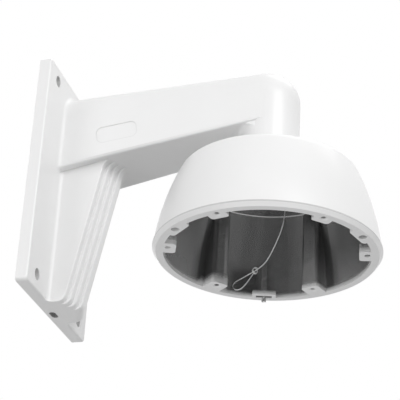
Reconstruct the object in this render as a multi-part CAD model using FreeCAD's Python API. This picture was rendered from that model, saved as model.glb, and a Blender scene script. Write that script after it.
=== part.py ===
import FreeCAD, Part
import math
import os
from FreeCAD import Vector

# A camera wall bracket, in millimetres.
# The origin is the centre of the wall plate's back face. The wall is the plane
# y = 0, the arm reaches out towards -Y, +Z is up, and +X is along the plate.

# Wall plate
plate_width = 122.0
plate_height = 182.5
plate_thickness = 9.25
plate_corner_radius = 3.0
plate_edge_radius = 1.5
plate_skin = 4.25
plate_rim_wall = 5.0
wall_screw_edge_x = 17.0
wall_screw_edge_z = 11.25
wall_screw_hole_radius = 4.5
wall_screw_boss_radius = 9.5
plate_rib_thickness = 3.5
drain_slot_length = 10.8
drain_slot_width = 5.0
drain_slot_across = 4.2
drain_slot_reach = 5.2
drain_slot_rounding = 0.98

# Gusset under the arm: nested layers, each narrower and standing further out
gusset_half_width = 20.5
gusset_foot_reach = 21.7
gusset_lean = 10.84
gusset_steps = 3
gusset_step_width = 5.7
gusset_step_depth = 2.4
gusset_step_edge_radius = 0.8
gusset_foot_radius = 6.0
gusset_crown_radius = 8.0

# Arm
arm_root_half_width = 27.7
arm_root_top = 81.0
arm_top_rise = 4.3
arm_root_underside = 12.7
arm_underside_rise = 11.48
arm_root_shoulder_radius = 22.0
arm_lower_edge_radius = 1.4
arm_to_plate_fillet = 3.0
arm_end_rounding = 0.999
casting_wall = 4.0

# Plain panel on the arm's side
panel_length = 31.0
panel_height = 13.0
panel_corner_radius = 4.5
panel_depth = 0.5
panel_tilt = 9.5
panel_reach = 52.5
panel_centre_height = 42.2
panel_cutter_reach = 5.0

# Neck and bowl
bowl_reach = 165.5
rim_drop = 57.2
neck_radius = 21.5
elbow_bend_radius = 3.9
neck_top_fillet = 5.0
neck_foot_fillet = 2.0
bowl_rim_radius = 82.5
bowl_shoulder_radius = 65.1
bowl_shoulder_height = 64.0
bowl_height = 78.0
bowl_wall_bulge = 2.6
bowl_shoulder_rounding = 7.0
bowl_rim_wall = 8.0
bowl_ceiling_wall = 4.0
rim_bevel_width = 2.6
rim_bevel_height = 3.2
rim_groove_depth = 0.5
rim_groove_height = 0.6

# Rim fittings, laid out about the rim's own axis, which is turned from +X
rim_turn = 14.5
screw_row_far = 56.0
screw_row_near = 64.5
screw_row_half_spacing = 36.0
camera_screw_radius = 1.65
camera_screw_depth = 14.0
camera_screw_seat_radius = 3.2
camera_screw_seat_depth = 0.9
pillar_width = 14.0
pillar_wall = 6.0
pad_thickness = 7.0
pad_corner_radius = 2.5
latch_angle = 107.5
latch_gap = 12.0
latch_wide_width = 22.0
latch_wide_depth = 12.0
latch_wide_hole_radius = 3.0
latch_wide_hole_depth = 6.0
latch_wide_hole_inset = 7.2
latch_narrow_width = 15.0
latch_narrow_depth = 17.0
latch_narrow_hole_radius = 2.2
latch_narrow_hole_inset = 11.2
tab_width = 18.0
tab_depth = 14.5
tab_height = 3.6
tab_corner_radius = 1.0
tab_rib_width = 5.0
tab_rib_height = 26.0
tab_slot_width = 12.0
tab_slot_length = 3.6
tab_slot_depth = 2.2

# Retaining screw in the tab
retaining_screw_inset = 9.3
retaining_screw_shank_radius = 1.5
retaining_screw_shank_length = 9.0
retaining_screw_head_radius = 1.75
retaining_screw_head_height = 2.2
retaining_screw_head_drop = 1.6
retaining_screw_slot_width = 0.8
retaining_screw_slot_depth = 1.0

# Fits
screw_clearance = 0.1
overcut = 1.0
same_point = 1e-7

# Safety rope's lug and screw on the bowl's ceiling
lug_angle = -14.5
lug_place = 33.0
lug_boss_radius = 5.0
lug_boss_height = 5.0
lug_radius = 4.2
lug_thickness = 1.0
lug_barrel_turn = -123.0
lug_barrel_radius = 1.4
lug_barrel_length = 9.0
lug_screw_radius = 1.6
lug_screw_length = 7.0
lug_screw_head_radius = 3.0
lug_screw_head_height = 2.0
lug_screw_cross_length = 3.6
lug_screw_cross_width = 0.9
lug_screw_cross_depth = 1.2

# Safety rope: where it turns, from the bowl's axis and above its rim. Its knot is
# tied half way between the last turn before it and the first turn after it.
rope_diameter = 0.8
rope_turns_to_knot = [
    (31.2, -5.3, 46.0),
    (35.0, -1.9, 36.8),
    (39.5, 2.6, 30.0),
    (45.5, 7.9, 23.6),
    (53.2, 15.3, 17.7),
]
rope_turns_after_knot = [
    (59.5, 31.5, 12.3),
    (58.5, 40.5, 7.2),
    (57.5, 38.3, 0.9),
    (57.5, 31.2, 1.8),
]
rope_end_side = 1.6
rope_end_ahead = 1.0
knot_wraps = 4
knot_wrap_pitch = 1.2
knot_core_radius = 2.2


def side_place(x):
    """Return a mapping from (y, z) on the plane at x to a point."""
    return lambda u, v: Vector(x, u, v)


def front_place(y):
    """Return a mapping from (x, z) on the plane at y to a point."""
    return lambda u, v: Vector(u, y, v)


def level_place(z):
    """Return a mapping from (x, y) on the plane at z to a point."""
    return lambda u, v: Vector(u, v, z)


def rounded_outline(corners, place):
    """Join corners (u, v, radius) by straight lines, each corner rounded by an arc."""
    count = len(corners)
    arcs = []
    for i in range(count):
        before = corners[i - 1]
        u, v, radius = corners[i]
        after = corners[(i + 1) % count]
        back = Vector(before[0] - u, before[1] - v, 0)
        ahead = Vector(after[0] - u, after[1] - v, 0)
        back.normalize()
        ahead.normalize()
        corner = Vector(u, v, 0)
        if radius <= 0:
            arcs.append((corner, corner, corner))
            continue
        half = math.acos(max(-1.0, min(1.0, back.dot(ahead)))) / 2
        run = radius / math.tan(half)
        middle_way = back + ahead
        middle_way.normalize()
        start = corner + back * run
        end = corner + ahead * run
        middle = corner + middle_way * (radius / math.sin(half) - radius)
        arcs.append((start, middle, end))
    edges = []
    for i in range(count):
        start, middle, end = arcs[i]
        following = arcs[(i + 1) % count][0]
        arc_start = place(start.x, start.y)
        arc_end = place(end.x, end.y)
        if (end - start).Length > same_point:
            edges.append(Part.Arc(arc_start, place(middle.x, middle.y), arc_end).toShape())
        if (following - end).Length > same_point:
            edges.append(Part.LineSegment(arc_end, place(following.x, following.y)).toShape())
    return Part.Wire(edges)


def prism(corners, place, depth):
    """Extrude a rounded outline along the vector depth."""
    return Part.Face(rounded_outline(corners, place)).extrude(depth)


def cylinder(radius, length, base, direction=Vector(0, 0, 1)):
    """Make a round bar from base along direction."""
    return Part.makeCylinder(radius, length, base, direction)


def box_between(low, high):
    """Make a box from its lowest to its highest corner."""
    size = high - low
    return Part.makeBox(size.x, size.y, size.z, low)


def fuse_all(first, others):
    """Join solids to the first one and merge the faces that lie in one surface."""
    return first.fuse(others).removeSplitter()


# Heights and slopes that several pieces share
plate_half_height = plate_height / 2
plate_half_width = plate_width / 2
wall_screw_half_x = plate_half_width - wall_screw_edge_x
wall_screw_half_z = plate_half_height - wall_screw_edge_z
rim_level = -rim_drop
top_slope = math.tan(math.radians(arm_top_rise))
underside_slope = math.tan(math.radians(arm_underside_rise))
front_slope = math.tan(math.radians(gusset_lean))
top_lean = math.radians(arm_top_rise)
elbow_reach = bowl_reach - elbow_bend_radius
elbow_radius = neck_radius + elbow_bend_radius
elbow_level = (
    arm_root_top + elbow_reach * top_slope
    - elbow_radius * (math.cos(top_lean) + math.sin(top_lean) * top_slope)
)
bowl_axis = Vector(0, -bowl_reach, 0)
wide_offset = (latch_gap + latch_wide_width) / 2
narrow_offset = (latch_gap + latch_narrow_width) / 2
wide_inner = bowl_rim_radius - latch_wide_depth
narrow_inner = bowl_rim_radius - latch_narrow_depth
wide_hole_place = bowl_rim_radius - latch_wide_hole_inset
narrow_hole_place = bowl_rim_radius - latch_narrow_hole_inset
tab_inner_radius = bowl_rim_radius - tab_depth
retaining_screw_place = bowl_rim_radius - retaining_screw_inset


def rim_point(radius, angle, height=0.0):
    """Return the point at a radius and an angle from the rim's own axis, above the rim."""
    turned = math.radians(rim_turn + angle)
    flat = Vector(radius * math.cos(turned), radius * math.sin(turned), rim_level + height)
    return bowl_axis + flat


def rim_block(angle, offset, width, inner_radius, height, rounding):
    """An upright block that stands in from the bowl's wall, shifted sideways by offset."""
    low = offset - width / 2
    high = offset + width / 2
    corners = [
        (inner_radius, low, rounding),
        (bowl_rim_radius, low, 0),
        (bowl_rim_radius, high, 0),
        (inner_radius, high, rounding),
    ]
    block = prism(corners, level_place(0), Vector(0, 0, height))
    block.rotate(Vector(0, 0, 0), Vector(0, 0, 1), rim_turn + angle)
    block.translate(bowl_axis + Vector(0, 0, rim_level))
    return block


def screw_places():
    """Return the plan places (radius, angle) of the four camera screws."""
    places = []
    for row in (screw_row_far, -screw_row_near):
        for side in (1, -1):
            radius = math.hypot(row, screw_row_half_spacing)
            angle = math.degrees(math.atan2(side * screw_row_half_spacing, row))
            places.append((radius, angle))
    return places


def wall_screw_places():
    """Return the (x, z) places of the four wall screws."""
    return [(i * wall_screw_half_x, k * wall_screw_half_z) for i in (-1, 1) for k in (-1, 1)]


# Wall plate

def make_plate():
    """The plate with rounded corners and a softened front edge."""
    corners = []
    for i, k in ((-1, -1), (1, -1), (1, 1), (-1, 1)):
        corners.append((i * plate_half_width, k * plate_half_height, plate_corner_radius))
    plate = prism(corners, front_place(0), Vector(0, -plate_thickness, 0))
    front_edges = [edge for edge in plate.Edges if edge.BoundBox.YMax < -plate_thickness + 0.01]
    return plate.makeFillet(plate_edge_radius, front_edges)


def make_plate_hollow():
    """The pocket in the plate's back, inside its rim wall and around its screw bosses and ribs."""
    inset = plate_rim_wall
    depth = plate_thickness - plate_skin
    corners = []
    for i, k in ((-1, -1), (1, -1), (1, 1), (-1, 1)):
        corners.append((i * (plate_half_width - inset), k * (plate_half_height - inset), plate_corner_radius))
    pocket = prism(corners, front_place(0), Vector(0, -depth, 0))
    kept = []
    for x, z in wall_screw_places():
        kept.append(cylinder(wall_screw_boss_radius, depth, Vector(x, 0, z), Vector(0, -1, 0)))
    for k in (-1, 0, 1):
        z = k * 2 * wall_screw_half_z / 3
        low = Vector(-plate_half_width, -depth, z - plate_rib_thickness / 2)
        high = Vector(plate_half_width, 0, z + plate_rib_thickness / 2)
        kept.append(box_between(low, high))
    return pocket.cut(kept)


# Gusset

def gusset_corners(step, inset):
    """The side outline of one layer; inset moves it inwards for the hollow behind it."""
    foot_z = -plate_half_height + inset
    forward = step * gusset_step_depth - inset / math.cos(math.radians(gusset_lean))
    foot_y = -gusset_foot_reach - forward - (foot_z + plate_half_height) * front_slope
    # Where the layer's front line meets the arm's underside
    rise = (arm_root_underside - underside_slope * foot_y - foot_z) / (1 - underside_slope * front_slope)
    crown_z = foot_z + rise
    crown_y = foot_y - rise * front_slope
    far_y = crown_y - gusset_crown_radius
    far_z = arm_root_underside - underside_slope * far_y
    bury = casting_wall / 2
    root_y = -plate_thickness / 2
    return [
        (root_y, foot_z, 0),
        (foot_y, foot_z, max(gusset_foot_radius - inset, 0.5)),
        (crown_y, crown_z, gusset_crown_radius),
        (far_y, far_z, 0),
        (far_y, far_z + bury, 0),
        (root_y, far_z + bury, 0),
    ]


def make_gusset_layer(step):
    """One layer across its full width, with its long front edges rounded down to its crisp foot."""
    half = gusset_half_width - step * gusset_step_width
    corners = gusset_corners(step, 0)
    root_y, foot_z, sharp = corners[0]
    foot_y = corners[1][0]
    turn = math.pi / 2 - math.radians(gusset_lean)
    heel_y = foot_y + gusset_foot_radius * math.tan(turn / 2)
    below = foot_z - gusset_step_depth
    outline = [(root_y, below, sharp), (heel_y, below, sharp), (heel_y, foot_z, sharp)] + corners[1:]
    layer = prism(outline, side_place(-half), Vector(2 * half, 0, 0))
    front = []
    for edge in layer.Edges:
        box = edge.BoundBox
        on_side = box.XLength < 0.01
        ahead = box.YMax < -plate_thickness and box.YMin < -gusset_foot_reach + gusset_foot_radius
        low_enough = box.ZLength > 1.0 and (box.ZMax - box.ZMin) > 0.3 * box.YLength
        if on_side and ahead and low_enough:
            front.append(edge)
    layer = layer.makeFillet(gusset_step_edge_radius, front)
    low = Vector(-plate_half_width, heel_y - overcut, below - overcut)
    return layer.cut(box_between(low, Vector(plate_half_width, overcut, foot_z)))


def make_gusset_web(side):
    """The hollow-faced web that leads one side of the gusset into the plate."""
    size = arm_to_plate_fillet
    near = gusset_half_width * side
    far = (gusset_half_width + size) * side
    bury = -plate_thickness + gusset_step_edge_radius
    middle = size * (1 - math.cos(math.pi / 4))
    foot_z = -plate_half_height
    place = level_place(foot_z)
    deep_near = place(near - size * side, bury)
    deep_far = place(far, bury)
    lip_far = place(far, -plate_thickness)
    lip_near = place(near, -plate_thickness - size)
    inner = place(near - size * side, -plate_thickness - size)
    hollow = place(near + middle * side, -plate_thickness - middle)
    outline = Part.Wire([
        Part.LineSegment(deep_near, deep_far).toShape(),
        Part.LineSegment(deep_far, lip_far).toShape(),
        Part.Arc(lip_far, hollow, lip_near).toShape(),
        Part.LineSegment(lip_near, inner).toShape(),
        Part.LineSegment(inner, deep_near).toShape(),
    ])
    height = arm_root_underside + casting_wall / 2 + plate_thickness * underside_slope - foot_z
    return Part.Face(outline).extrude(Vector(0, 0, height))


def make_gusset_hollow():
    """The space inside the gusset, open at the wall."""
    half = gusset_half_width - casting_wall
    corners = gusset_corners(0, casting_wall)
    foot_y, foot_z, foot_radius = corners[1]
    crown_y, crown_z, crown_radius = corners[2]
    inside_arm = (arm_root_underside + arm_root_top) / 2
    outline = [
        (overcut, foot_z, 0),
        (foot_y, foot_z, foot_radius),
        (crown_y, crown_z, 0),
        (crown_y, inside_arm, 0),
        (overcut, inside_arm, 0),
    ]
    return prism(outline, side_place(-half), Vector(2 * half, 0, 0))


# Arm, elbow and neck

def arm_root_section(reach, inset):
    """The arm's upright cross-section at a small reach from the wall, drawn inwards by inset."""
    half = arm_root_half_width - inset
    top = arm_root_top + reach * top_slope - inset
    bottom = arm_root_underside + reach * underside_slope + inset
    lower = max(arm_lower_edge_radius - inset, 1.0)
    shoulder = arm_root_shoulder_radius - inset
    corners = [(-half, bottom, lower), (half, bottom, lower), (half, top, shoulder), (-half, top, shoulder)]
    return rounded_outline(corners, front_place(-reach))


def arm_end_section(inset):
    """The arm's last cross-section, square to its top line, where the elbow takes over."""
    half = neck_radius - inset
    underside = arm_root_underside + underside_slope * elbow_reach - elbow_level
    bottom = underside / (math.cos(top_lean) + underside_slope * math.sin(top_lean)) + inset
    lower = max(arm_lower_edge_radius - inset, 1.0)
    almost = half * arm_end_rounding
    corners = [
        (-half, bottom, lower),
        (half, bottom, lower),
        (half, elbow_radius - inset, almost),
        (-half, elbow_radius - inset, almost),
    ]
    return rounded_outline(corners, elbow_place)


def elbow_place(u, v):
    """Map (across, up) on the arm's end plane, which leans with the arm's top line."""
    return Vector(u, v * math.sin(top_lean) - elbow_reach, elbow_level + v * math.cos(top_lean))


def make_arm(inset, start):
    """The arm from a start reach to the elbow, as a straight-lined loft."""
    return Part.makeLoft([arm_root_section(start, inset), arm_end_section(inset)], True, True)


def underside_level(reach):
    """Height of the arm's underside at a reach from the wall."""
    return arm_root_underside + reach * underside_slope


def make_elbow(inset):
    """The bend: a flat-backed half disc, turned about the elbow's axis from the arm to the neck."""
    radius = neck_radius - inset
    near_low = elbow_place(-radius, 0)
    near_high = elbow_place(-radius, elbow_bend_radius)
    top = elbow_place(0, elbow_bend_radius + radius)
    far_high = elbow_place(radius, elbow_bend_radius)
    far_low = elbow_place(radius, 0)
    outline = Part.Wire([
        Part.LineSegment(near_high, near_low).toShape(),
        Part.LineSegment(near_low, far_low).toShape(),
        Part.LineSegment(far_low, far_high).toShape(),
        Part.Arc(far_high, top, near_high).toShape(),
    ])
    centre = Vector(0, -elbow_reach, elbow_level)
    return Part.Face(outline).revolve(centre, Vector(1, 0, 0), 90 + arm_top_rise)


def make_neck(inset):
    """The upright neck up to the elbow's level, with flat cheeks that lead back into the arm."""
    radius = neck_radius - inset
    foot = bowl_axis + Vector(0, 0, rim_level + bowl_shoulder_height)
    cheek = prism(
        [
            (-elbow_reach, underside_level(elbow_reach) + inset, 0),
            (-bowl_reach, underside_level(bowl_reach) + inset, 0),
            (-bowl_reach, elbow_level, 0),
            (-elbow_reach, elbow_level, 0),
        ],
        side_place(-radius),
        Vector(2 * radius, 0, 0),
    )
    return cylinder(radius, elbow_level - foot.z, foot).fuse(cheek)


def make_neck_collar():
    """The fillet that leads the neck into the arm's underside, kept inside the arm's width."""
    lowest = underside_level(bowl_reach - neck_radius)
    highest = underside_level(bowl_reach + neck_radius)
    foot = bowl_axis + Vector(0, 0, lowest - 2 * neck_top_fillet)
    wall_side = bowl_reach - 2 * neck_radius
    far_side = bowl_reach + 2 * neck_radius
    slab = prism(
        [
            (-wall_side, underside_level(wall_side), 0),
            (-far_side, underside_level(far_side), 0),
            (-far_side, underside_level(far_side) + casting_wall, 0),
            (-wall_side, underside_level(wall_side) + casting_wall, 0),
        ],
        side_place(-2 * neck_radius),
        Vector(4 * neck_radius, 0, 0),
    )
    joined = cylinder(neck_radius, elbow_level - foot.z, foot).fuse(slab)
    ring = []
    for edge in joined.Edges:
        box = edge.BoundBox
        if box.XLength > 1.8 * neck_radius and abs(box.ZMin - lowest) < 0.1 and abs(box.ZMax - highest) < 0.1:
            ring.append(edge)
    joined = joined.makeFillet(neck_top_fillet, ring)
    half = neck_radius - arm_lower_edge_radius
    low = Vector(-half, -elbow_reach, foot.z)
    high = Vector(half, -wall_side - arm_lower_edge_radius, elbow_level)
    return joined.common(box_between(low, high))


def make_panel_recess():
    """The shallow plain panel sunk into the arm's -X side."""
    side_slope = (arm_root_half_width - neck_radius) / (elbow_reach - plate_thickness / 2)
    half = arm_root_half_width - side_slope * (panel_reach - plate_thickness / 2)
    taper = math.degrees(math.atan(side_slope))
    corners = []
    for i, k in ((-1, -1), (1, -1), (1, 1), (-1, 1)):
        corners.append((i * panel_length / 2, k * panel_height / 2, panel_corner_radius))
    recess = prism(corners, side_place(-panel_cutter_reach), Vector(panel_cutter_reach + panel_depth, 0, 0))
    recess.rotate(Vector(0, 0, 0), Vector(1, 0, 0), -panel_tilt)
    recess.rotate(Vector(0, 0, 0), Vector(0, 0, 1), taper)
    recess.translate(Vector(-half, -panel_reach, panel_centre_height))
    return recess


# Bowl

def wall_arc(low_radius, low_height, high_radius, high_height):
    """The bulging line of the bowl's wall between two heights."""
    middle_radius = (low_radius + high_radius) / 2
    middle_height = (low_height + high_height) / 2
    along = Vector(high_radius - low_radius, 0, high_height - low_height)
    along.normalize()
    outwards = Vector(along.z, 0, -along.x)
    middle = Vector(middle_radius, 0, middle_height) + outwards * bowl_wall_bulge
    return Part.Arc(Vector(low_radius, 0, low_height), middle, Vector(high_radius, 0, high_height)).toShape()


def dome_arc(radius, height, crown):
    """The line of the bowl's top from its shoulder to its axis."""
    sphere = (radius ** 2 + (crown - height) ** 2) / (2 * (crown - height))
    half_angle = math.asin(radius / sphere) / 2
    middle = Vector(sphere * math.sin(half_angle), 0, crown - sphere * (1 - math.cos(half_angle)))
    return Part.Arc(Vector(radius, 0, height), middle, Vector(0, 0, crown)).toShape()


def revolve_bowl(edges):
    """Turn a profile about the bowl's axis and set it on the rim's level."""
    solid = Part.Face(Part.Wire(edges)).revolve(Vector(0, 0, 0), Vector(0, 0, 1), 360)
    solid.translate(bowl_axis + Vector(0, 0, rim_level))
    return solid


def make_bowl_outside():
    """The bowl's outer form as a full solid, with its shoulder rounded."""
    foot = bowl_rim_radius - rim_bevel_width
    groove_top = rim_bevel_height + rim_groove_height
    waist = bowl_rim_radius - rim_groove_depth
    foot_edge = Vector(foot, 0, 0)
    widest = Vector(bowl_rim_radius, 0, rim_bevel_height)
    edges = [
        Part.LineSegment(Vector(0, 0, 0), foot_edge).toShape(),
        Part.LineSegment(foot_edge, widest).toShape(),
        Part.LineSegment(widest, Vector(waist, 0, groove_top)).toShape(),
        wall_arc(waist, groove_top, bowl_shoulder_radius, bowl_shoulder_height),
        dome_arc(bowl_shoulder_radius, bowl_shoulder_height, bowl_height),
        Part.LineSegment(Vector(0, 0, bowl_height), Vector(0, 0, 0)).toShape(),
    ]
    bowl = revolve_bowl(edges)
    shoulder_level = rim_level + bowl_shoulder_height
    shoulder = []
    for edge in bowl.Edges:
        box = edge.BoundBox
        if box.ZLength < 0.01 and abs(box.ZMax - shoulder_level) < 0.01:
            shoulder.append(edge)
    return bowl.makeFillet(bowl_shoulder_rounding, shoulder)


def make_bowl_hollow():
    """The space inside the bowl, from below the rim up to its ceiling."""
    mouth = bowl_rim_radius - bowl_rim_wall
    shoulder = bowl_shoulder_radius - bowl_ceiling_wall
    shoulder_height = bowl_shoulder_height - bowl_ceiling_wall / 2
    crown = bowl_height - bowl_ceiling_wall
    edges = [
        Part.LineSegment(Vector(0, 0, -overcut), Vector(mouth, 0, -overcut)).toShape(),
        Part.LineSegment(Vector(mouth, 0, -overcut), Vector(mouth, 0, 0)).toShape(),
        wall_arc(mouth, 0, shoulder, shoulder_height),
        dome_arc(shoulder, shoulder_height, crown),
        Part.LineSegment(Vector(0, 0, crown), Vector(0, 0, -overcut)).toShape(),
    ]
    return revolve_bowl(edges)


def make_rim_fittings():
    """Pillars, latch pads, tab and lug boss: what stands in the bowl's hollow."""
    blocks = []
    for radius, angle in screw_places():
        blocks.append(rim_block(angle, 0, pillar_width, radius - pillar_wall, bowl_height, pad_corner_radius))
    for side in (1, -1):
        for offset, width, inner in (
            (side * wide_offset, latch_wide_width, wide_inner),
            (-side * narrow_offset, latch_narrow_width, narrow_inner),
        ):
            angle = side * latch_angle + math.degrees(math.asin(offset / inner))
            blocks.append(rim_block(angle, 0, width, inner, pad_thickness, pad_corner_radius))
    blocks.append(rim_block(0, 0, tab_width, tab_inner_radius, tab_height, tab_corner_radius))
    blocks.append(rim_block(0, 0, tab_rib_width, tab_inner_radius, tab_rib_height, tab_corner_radius))
    boss_length = bowl_height - lug_seat_height()
    blocks.append(cylinder(lug_boss_radius, boss_length, rim_point(lug_place, lug_angle, lug_seat_height())))
    return blocks


def lug_seat_height():
    """Height above the rim of the face that the rope's lug is screwed to."""
    crown = bowl_height - bowl_ceiling_wall
    shoulder = bowl_shoulder_radius - bowl_ceiling_wall
    drop = crown - (bowl_shoulder_height - bowl_ceiling_wall / 2)
    sphere = (shoulder ** 2 + drop ** 2) / (2 * drop)
    ceiling = crown - (sphere - math.sqrt(sphere ** 2 - lug_place ** 2))
    return ceiling - lug_boss_height


def make_rim_holes():
    """Every hole and slot that opens in the rim, and the screw hole in the lug's boss."""
    holes = []
    seat_spread = 2 * camera_screw_seat_radius - camera_screw_radius
    for radius, angle in screw_places():
        mouth = rim_point(radius, angle, -overcut)
        holes.append(cylinder(camera_screw_radius, camera_screw_depth + overcut, mouth))
        seat_foot = rim_point(radius, angle, -camera_screw_seat_depth)
        holes.append(Part.makeCone(seat_spread, camera_screw_radius, 2 * camera_screw_seat_depth, seat_foot))
    for side in (1, -1):
        for offset, place, hole_radius, depth in (
            (side * wide_offset, wide_hole_place, latch_wide_hole_radius, latch_wide_hole_depth),
            (-side * narrow_offset, narrow_hole_place, latch_narrow_hole_radius, pad_thickness + overcut),
        ):
            angle = side * latch_angle + math.degrees(math.asin(offset / place))
            holes.append(cylinder(hole_radius, depth + overcut, rim_point(place, angle, -overcut)))
    slot = box_between(
        Vector(retaining_screw_place - tab_slot_length / 2, -tab_slot_width / 2, -overcut),
        Vector(retaining_screw_place + tab_slot_length / 2, tab_slot_width / 2, tab_slot_depth),
    )
    slot.rotate(Vector(0, 0, 0), Vector(0, 0, 1), rim_turn)
    slot.translate(bowl_axis + Vector(0, 0, rim_level))
    holes.append(slot)
    shank_top = retaining_screw_shank_length - retaining_screw_head_drop
    shank_foot = rim_point(retaining_screw_place, 0, -overcut)
    shank_hole = retaining_screw_shank_radius + screw_clearance
    holes.append(cylinder(shank_hole, shank_top + screw_clearance + overcut, shank_foot))
    lug_hole = lug_screw_radius + screw_clearance
    lug_hole_depth = lug_screw_length - lug_thickness + screw_clearance
    lug_hole_foot = rim_point(lug_place, lug_angle, lug_seat_height() - overcut)
    holes.append(cylinder(lug_hole, lug_hole_depth + overcut, lug_hole_foot))
    return holes


def make_drain_slot():
    """The round-ended slot in the plate's lower edge."""
    half_length = drain_slot_length / 2
    half_width = drain_slot_width / 2
    corners = []
    for i, k in ((-1, -1), (1, -1), (1, 1), (-1, 1)):
        across = drain_slot_across + i * half_length
        corners.append((across, k * half_width - drain_slot_reach, half_width * drain_slot_rounding))
    foot = level_place(-plate_half_height - overcut)
    return prism(corners, foot, Vector(0, 0, plate_rim_wall + 2 * overcut))


def make_casting():
    """The one-piece casting: plate, gusset, arm, elbow, neck and bowl, hollow throughout."""
    layers = [make_gusset_layer(step) for step in range(gusset_steps + 1)]
    solids = layers + [make_arm(0, plate_thickness / 2), make_elbow(0), make_neck(0), make_neck_collar()]
    solids.append(make_bowl_outside())
    outside = round_joins(fuse_all(make_plate(), solids))
    outside = fuse_all(outside, [make_gusset_web(-1), make_gusset_web(1)])
    cuts = [make_arm(casting_wall, -overcut), make_elbow(casting_wall), make_neck(casting_wall)]
    cuts += [make_bowl_hollow().cut(make_rim_fittings()), make_gusset_hollow(), make_plate_hollow()]
    cuts.append(make_panel_recess())
    cuts += make_rim_holes()
    for x, z in wall_screw_places():
        start = Vector(x, overcut, z)
        cuts.append(cylinder(wall_screw_hole_radius, plate_thickness + 2 * overcut, start, Vector(0, -1, 0)))
    cuts.append(make_drain_slot())
    return outside.cut(cuts)


def round_joins(outside):
    """Fillet the inner corners: the arm on the plate, and the neck's foot on the bowl."""
    on_plate = []
    neck_foot = []
    bowl_top = rim_level + bowl_height
    for edge in outside.Edges:
        box = edge.BoundBox
        flat_on_plate = box.YLength < 0.01 and abs(box.YMin + plate_thickness) < 0.01
        inside_outline = box.XMin > -plate_half_width / 2 and box.XMax < plate_half_width / 2
        if flat_on_plate and inside_outline and box.ZMin > 0:
            on_plate.append(edge)
        around_neck = box.XLength > 1.8 * neck_radius and box.XLength < 2.02 * neck_radius
        by_neck = abs(box.YMin + box.YMax + 2 * bowl_reach) < neck_radius
        if around_neck and by_neck and box.ZMax < bowl_top:
            neck_foot.append(edge)
    rounded = outside.makeFillet(arm_to_plate_fillet, on_plate)
    return rounded.makeFillet(neck_foot_fillet, neck_foot)


# Retaining screw

def make_retaining_screw():
    """A slotted cheese-head screw, part way into the tab, head below the rim."""
    shoulder = rim_point(retaining_screw_place, 0, -retaining_screw_head_drop)
    shank = cylinder(retaining_screw_shank_radius, retaining_screw_shank_length, shoulder)
    head = cylinder(retaining_screw_head_radius, retaining_screw_head_height, shoulder, Vector(0, 0, -1))
    half_slot = retaining_screw_slot_width / 2
    face = shoulder - Vector(0, 0, retaining_screw_head_height)
    reach = retaining_screw_head_radius + overcut
    low = face + Vector(-reach, -half_slot, -overcut)
    high = face + Vector(reach, half_slot, retaining_screw_slot_depth)
    return shank.fuse(head).cut(box_between(low, high))


# Safety rope

def lug_centre():
    """The middle of the lug's face on its boss."""
    return rim_point(lug_place, lug_angle, lug_seat_height())


def lug_barrel_top():
    """The top of the lug's barrel, beside its ring."""
    turned = math.radians(rim_turn + lug_barrel_turn)
    out = Vector(math.cos(turned), math.sin(turned), 0)
    return lug_centre() + out * (lug_radius + lug_barrel_radius)


def make_rope_lug():
    """A ring lug whose barrel hangs down beside the ring and grips the rope."""
    centre = lug_centre()
    top = lug_barrel_top()
    drop = Vector(0, 0, -lug_thickness)
    ring = cylinder(lug_radius, lug_thickness, centre + drop)
    barrel = cylinder(lug_barrel_radius, lug_barrel_length, top, Vector(0, 0, -1))
    out = top - centre
    side = out.cross(Vector(0, 0, 1))
    side.normalize()
    side = side * lug_barrel_radius
    bridge = Part.makePolygon([centre - side, top - side, top + side, centre + side, centre - side])
    strap = Part.Face(bridge).extrude(drop)
    hole_foot = centre + drop - Vector(0, 0, overcut)
    hole = cylinder(lug_screw_radius + screw_clearance, lug_thickness + 2 * overcut, hole_foot)
    return ring.fuse([barrel, strap]).cut(hole).removeSplitter()


def make_lug_screw():
    """The cross-headed screw that holds the lug to its boss."""
    seat = lug_centre() - Vector(0, 0, lug_thickness)
    shank = cylinder(lug_screw_radius, lug_screw_length, seat)
    head = cylinder(lug_screw_head_radius, lug_screw_head_height, seat, Vector(0, 0, -1))
    rim = [edge for edge in head.Edges if edge.BoundBox.ZMax < seat.z - lug_screw_head_height + 0.01]
    head = head.makeFillet(lug_screw_head_height / 2, rim)
    face = seat - Vector(0, 0, lug_screw_head_height)
    long_half = lug_screw_cross_length / 2
    thin_half = lug_screw_cross_width / 2
    screw = shank.fuse(head)
    for across, along in ((long_half, thin_half), (thin_half, long_half)):
        low = face + Vector(-across, -along, -overcut)
        high = face + Vector(across, along, lug_screw_cross_depth)
        screw = screw.cut(box_between(low, high))
    return screw


def rope_route():
    """The points that the rope turns at, from the lug's barrel round its loop to the knot."""
    start = lug_barrel_top() - Vector(0, 0, lug_barrel_length)
    points = [start]
    for x, y, height in rope_turns_to_knot + rope_turns_after_knot:
        points.append(bowl_axis + Vector(x, y, rim_level + height))
    centre, along = knot_place(points)
    down = Vector(0, 0, -1) - along * Vector(0, 0, -1).dot(along)
    down.normalize()
    points.append(centre + along * rope_end_ahead + down * rope_end_side)
    return points


def knot_place(points):
    """The knot's middle and its direction, half way along its run of the route."""
    before = points[len(rope_turns_to_knot)]
    after = points[len(rope_turns_to_knot) + 1]
    along = after - before
    along.normalize()
    return (before + after) * 0.5, along


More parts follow.
